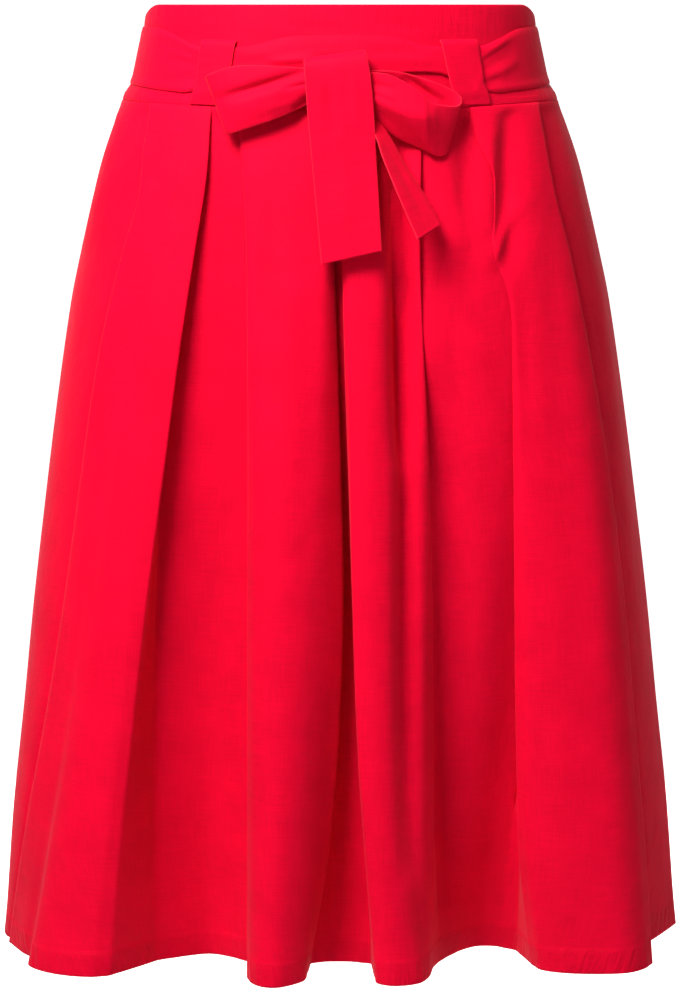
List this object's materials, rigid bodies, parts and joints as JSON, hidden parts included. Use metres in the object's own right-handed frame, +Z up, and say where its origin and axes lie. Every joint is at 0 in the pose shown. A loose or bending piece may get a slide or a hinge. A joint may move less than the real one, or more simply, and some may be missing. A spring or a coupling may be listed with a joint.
{
  "type": "pleated skirt",
  "caption": "Knee-length red box-pleated skirt, filled out, with a fitted waistband, belt carriers and a tie sash knotted in a bow at the front",
  "frame": {"origin": "middle of the waist ring, in the plane of the waistband's top edge, where the wearer's waist holds the skirt up", "axes": "+Z up out of the waist, -Y towards the front with the bow, +X towards the viewer's right when the front is faced"},
  "size_m": [0.5001, 0.3214, 0.6795],
  "materials": {
    "skirt_cotton": "plain-woven cotton, soft sheen",
    "band_cotton": "doubled plain-woven cotton",
    "sash_cotton": "doubled plain-woven cotton",
    "zip_tape": "woven tape with a coil",
    "zip_metal": "enamelled red"
  },
  "bodies": {
    "root": {"skirt_front": "skirt_cotton", "skirt_back": "skirt_cotton", "waistband_front": "band_cotton", "waistband_back": "band_cotton", "sash_band": "sash_cotton", "bow_knot": "sash_cotton", "bow_loop_left": "sash_cotton", "bow_loop_right": "sash_cotton", "sash_tail_front": "sash_cotton", "sash_tail_under": "sash_cotton", "belt_loop_front_left": "band_cotton", "belt_loop_front_right": "band_cotton", "belt_loop_back_left": "band_cotton", "belt_loop_back_right": "band_cotton", "side_zip": "zip_tape", "zip_slider": "zip_metal"}
  },
  "joints": []
}
